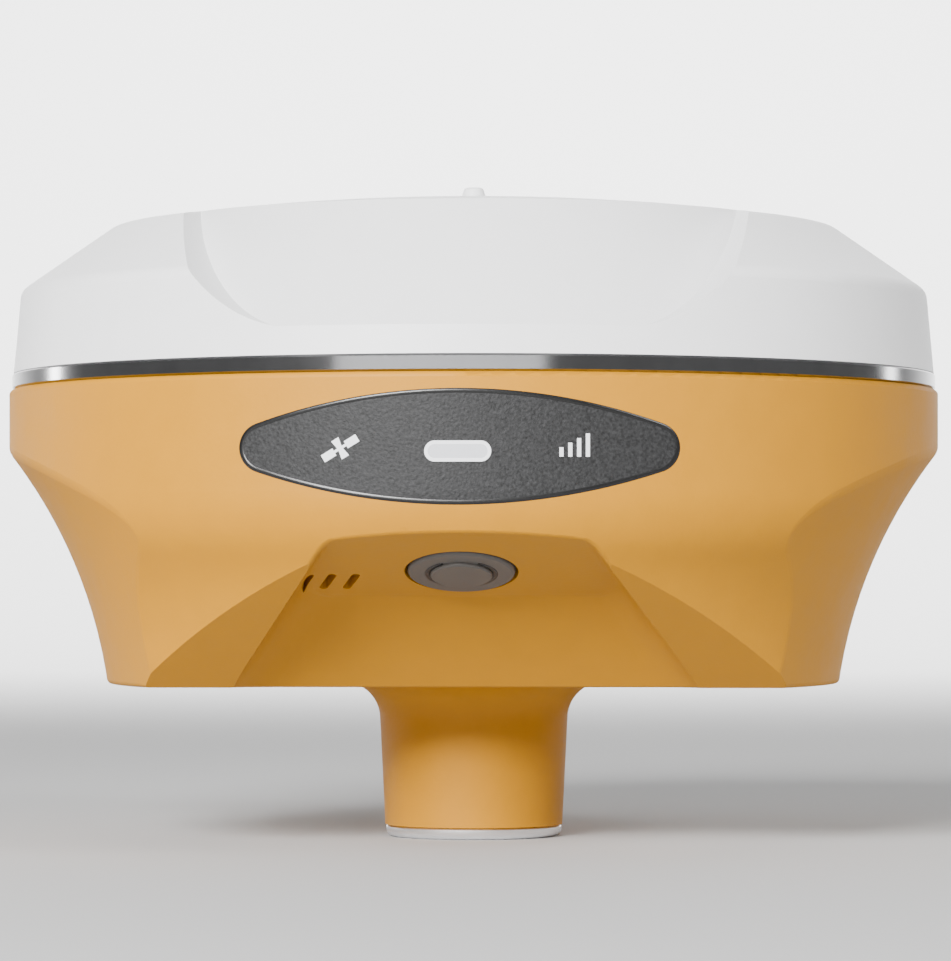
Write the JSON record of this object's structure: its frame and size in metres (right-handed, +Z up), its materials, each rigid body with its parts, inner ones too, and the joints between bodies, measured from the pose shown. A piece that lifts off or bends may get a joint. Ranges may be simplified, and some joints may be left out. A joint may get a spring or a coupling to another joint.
{
  "type": "gnss receiver",
  "caption": "Survey-pole satellite positioning receiver: white radome over a scooped yellow housing with a power button, light panel, radio socket and threaded pole mount.",
  "frame": {"origin": "centre of the mount ring's bottom face, on the axis of the pole thread", "axes": "+Z up along the pole axis, -Y towards the light panel and power button, +X to the right seen from the front"},
  "size_m": [0.132, 0.132, 0.0925],
  "materials": {
    "housing_yellow": "moulded polycarbonate, fine satin texture",
    "radome_white": "moulded white plastic, satin",
    "dark_chrome": "polished dark plated ring",
    "seal_rubber": "moulded silicone",
    "steel": "plated steel",
    "insert_metal": "turned stainless steel",
    "panel_black": "grained film overlay",
    "window_white": "translucent printed window",
    "lens_clear": "milky light guide",
    "button_grey": "soft-touch grey",
    "switch_black": "moulded switch body",
    "board_green": "solder-masked laminate",
    "chip_black": "moulded chip package",
    "can_metal": "tinned steel shield",
    "brass": "turned brass",
    "socket_metal": "nickel-plated brass",
    "insulator_white": "machined fluoropolymer",
    "cover_rubber": "moulded rubber",
    "cell_blue": "shrink-sleeved steel can",
    "tray_black": "moulded tray",
    "ground_aluminium": "machined plate",
    "patch_laminate": "ceramic-filled laminate",
    "mesh_black": "acoustic membrane",
    "speaker_metal": "driver can"
  },
  "bodies": {
    "root": {"lower_housing": "housing_yellow", "radome": "radome_white", "trim_ring": "dark_chrome", "housing_seal": "seal_rubber", "radome_seal": "seal_rubber", "housing_screws": "steel", "pole_insert": "insert_metal", "insert_washer": "steel", "insert_nut": "steel", "front_panel": "panel_black", "satellite_window": "window_white", "signal_window": "window_white", "lens_bezel": "window_white", "status_lens": "lens_clear", "panel_board": "board_green", "panel_screws": "steel", "panel_leds": "window_white", "button_seal": "seal_rubber", "button_switch": "switch_black", "button_board": "board_green", "button_screws": "steel", "speaker_mesh": "mesh_black", "speaker": "speaker_metal", "antenna_socket": "socket_metal", "socket_insulator": "insulator_white", "socket_pin": "brass", "socket_nut": "socket_metal", "usb_socket": "socket_metal", "service_board": "board_green", "hinge_pin": "steel", "vent_plug": "switch_black", "battery_tray": "tray_black", "battery_cells": "cell_blue", "battery_contacts": "socket_metal", "lower_standoffs": "brass", "main_board": "board_green", "upper_standoffs": "brass", "shield_cans": "can_metal", "board_chips": "chip_black", "board_connectors": "insulator_white", "wireless_antenna": "patch_laminate", "amplifier_board": "board_green", "amplifier_shield": "can_metal", "coaxial_link": "brass", "antenna_ground_plane": "ground_aluminium", "lower_patch": "patch_laminate", "upper_patch": "patch_laminate", "feed_pins": "brass", "antenna_screws": "steel"},
    "button": {"power_button": "button_grey"},
    "port_flap": {"port_cover": "cover_rubber"}
  },
  "joints": [
    {"name": "power_press", "type": "slide", "parent": "root", "child": "button", "axis": [0, 0.3503, 0.9366], "range_m": [0, 0.0008], "stiffness_N_per_m": 2500},
    {"name": "port_flap_hinge", "type": "hinge", "parent": "root", "child": "port_flap", "pos_m": [0.0176, 0.0517, 0.03674], "axis": [0, -0.9366, -0.3503], "range_deg": [0, 110]}
  ]
}
